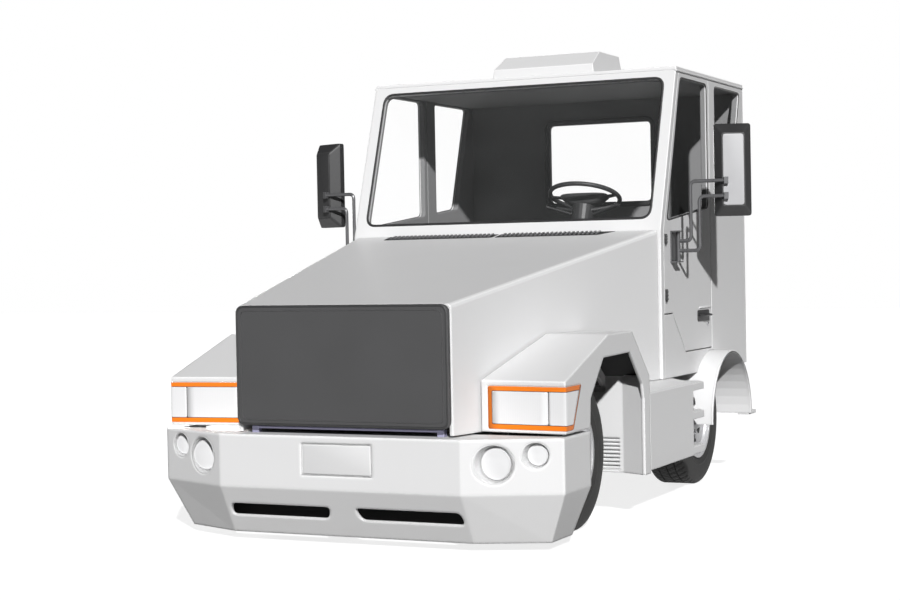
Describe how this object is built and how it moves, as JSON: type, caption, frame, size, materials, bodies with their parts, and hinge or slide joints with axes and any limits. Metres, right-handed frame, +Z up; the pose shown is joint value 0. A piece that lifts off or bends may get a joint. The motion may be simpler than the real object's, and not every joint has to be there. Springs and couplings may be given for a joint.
{
  "type": "cab tow tractor",
  "caption": "Short two-axle tow tractor with a full-width cab, a sloping tilt bonnet, separate front fenders, side steps, opening doors, steered front wheels and a rear towing jaw.",
  "frame": {"origin": "on the ground, in the middle of the vehicle's length and width", "axes": "+Z up, -Y towards the front bumper, +X towards the driver's side"},
  "size_m": [3.167, 4.5, 3.008],
  "materials": {
    "paint": "smooth light grey paint, softly glossy",
    "grille": "dark grey satin paint",
    "lamp": "clear ribbed lens over a pale reflector",
    "tyre": "black rubber",
    "rim": "silver grey wheel paint",
    "steel": "black chassis paint",
    "iron": "dark painted casting",
    "plastic": "dark grained plastic",
    "lining": "dark floor covering",
    "fabric": "dark woven seat cloth",
    "glass": "clear safety glass"
  },
  "bodies": {
    "root": {"bumper": "paint", "cab_floor": "lining", "cab_front": "paint", "cab_rear_wall": "paint", "cab_roof": "paint", "cab_side_left": "paint", "cab_side_right": "paint", "chassis_frame": "steel", "dashboard": "plastic", "engine_block": "iron", "fender_left": "paint", "fender_right": "paint", "front_axle": "iron", "headlamp_left": "lamp", "headlamp_right": "lamp", "hood_hinge_bar": "steel", "lamp_cluster_left": "lamp", "lamp_cluster_right": "lamp", "mudguard_left": "paint", "mudguard_right": "paint", "quarter_window_left": "glass", "quarter_window_right": "glass", "rear_axle": "iron", "rear_plate": "steel", "rear_window": "glass", "roof_unit": "paint", "seat_frame_left": "plastic", "seat_frame_right": "plastic", "seat_pad_left": "fabric", "seat_pad_right": "fabric", "steering_column": "plastic", "step_box_left": "paint", "step_box_right": "paint", "tow_coupling": "iron", "windscreen": "glass"},
    "hood": {"hood": "paint", "grille_panel": "grille"},
    "steering_wheel": {"steering_wheel": "plastic"},
    "door_left": {"door_left": "paint", "door_window_left": "glass", "mirror_left": "plastic", "mirror_arm_left": "steel"},
    "knuckle_left": {"knuckle_left": "iron"},
    "wheel_front_left": {"tyre_front_left": "tyre", "rim_front_left": "rim"},
    "wheel_rear_left": {"tyre_rear_left": "tyre", "rim_rear_left": "rim"},
    "door_right": {"door_right": "paint", "door_window_right": "glass", "mirror_right": "plastic", "mirror_arm_right": "steel"},
    "knuckle_right": {"knuckle_right": "iron"},
    "wheel_front_right": {"tyre_front_right": "tyre", "rim_front_right": "rim"},
    "wheel_rear_right": {"tyre_rear_right": "tyre", "rim_rear_right": "rim"}
  },
  "joints": [
    {"name": "hood_tilt", "type": "hinge", "parent": "root", "child": "hood", "pos_m": [0, -2.165, 0.655], "axis": [1, 0, 0], "range_deg": [0, 60]},
    {"name": "door_left_hinge", "type": "hinge", "parent": "root", "child": "door_left", "pos_m": [1.112, 0.118, 1.8], "axis": [0, 0, -1], "range_deg": [0, 70]},
    {"name": "door_right_hinge", "type": "hinge", "parent": "root", "child": "door_right", "pos_m": [-1.112, 0.118, 1.8], "axis": [0, 0, 1], "range_deg": [0, 70]},
    {"name": "steering", "type": "hinge", "parent": "root", "child": "steering_wheel", "pos_m": [0.4, 0.55, 1.985], "axis": [0, 0.342, 0.9397], "range_deg": [-720, 720]},
    {"name": "kingpin_left", "type": "hinge", "parent": "root", "child": "knuckle_left", "pos_m": [0.8, -1.19, 0.44], "axis": [0, 0, 1], "range_deg": [-35.5, 35.5]},
    {"name": "kingpin_right", "type": "hinge", "parent": "root", "child": "knuckle_right", "pos_m": [-0.8, -1.19, 0.44], "axis": [0, 0, 1], "range_deg": [-35.5, 35.5]},
    {"name": "wheel_front_left_spin", "type": "hinge", "parent": "knuckle_left", "child": "wheel_front_left", "pos_m": [0.8675, -1.19, 0.44], "axis": [1, 0, 0], "continuous": true},
    {"name": "wheel_front_right_spin", "type": "hinge", "parent": "knuckle_right", "child": "wheel_front_right", "pos_m": [-0.8675, -1.19, 0.44], "axis": [1, 0, 0], "continuous": true},
    {"name": "wheel_rear_left_spin", "type": "hinge", "parent": "root", "child": "wheel_rear_left", "pos_m": [0.8675, 1.1, 0.44], "axis": [1, 0, 0], "continuous": true},
    {"name": "wheel_rear_right_spin", "type": "hinge", "parent": "root", "child": "wheel_rear_right", "pos_m": [-0.8675, 1.1, 0.44], "axis": [1, 0, 0], "continuous": true}
  ],
  "couplings": [
    {"joint": "kingpin_left", "follows": "steering", "ratio": 0.048611},
    {"joint": "kingpin_right", "follows": "steering", "ratio": 0.048611}
  ]
}
